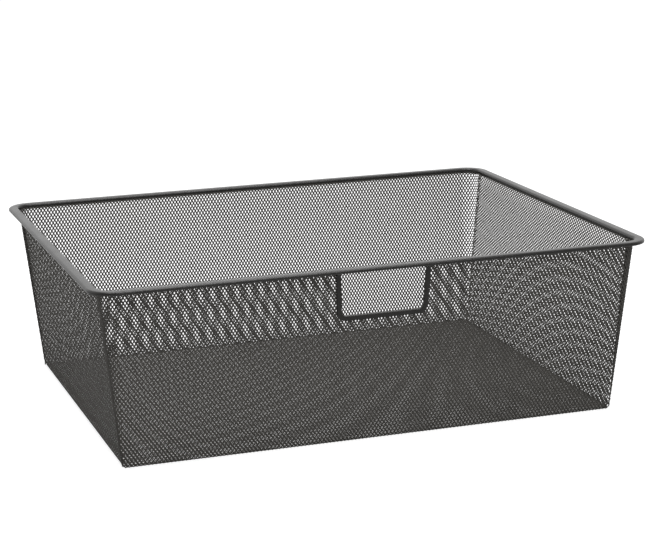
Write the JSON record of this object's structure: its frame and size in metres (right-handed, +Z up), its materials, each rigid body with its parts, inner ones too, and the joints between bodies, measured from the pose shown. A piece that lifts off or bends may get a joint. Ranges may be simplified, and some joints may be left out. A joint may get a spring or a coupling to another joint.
{
  "type": "wire drawer basket",
  "caption": "Tapered open-top drawer basket of diamond steel mesh with a flat flanged rim and a framed hand opening in its front wall.",
  "frame": {"origin": "on the underside of the floor, under the middle of the rim", "axes": "+X to the right when facing the front, -Y out of the front wall with the hand opening, +Z up"},
  "size_m": [0.55, 0.432, 0.1743],
  "materials": {
    "mesh_powder_coat": "matte dark grey powder coat on expanded steel mesh",
    "rim_powder_coat": "satin dark grey powder coat on formed steel strip",
    "frame_powder_coat": "satin dark grey powder coat on folded steel channel"
  },
  "bodies": {
    "root": {"mesh_floor": "mesh_powder_coat", "mesh_front": "mesh_powder_coat", "mesh_back": "mesh_powder_coat", "mesh_left": "mesh_powder_coat", "mesh_right": "mesh_powder_coat", "corner_wrap_front_left": "mesh_powder_coat", "corner_wrap_front_right": "mesh_powder_coat", "corner_wrap_back_left": "mesh_powder_coat", "corner_wrap_back_right": "mesh_powder_coat", "rim_flange": "rim_powder_coat", "handle_frame": "frame_powder_coat"}
  },
  "joints": []
}
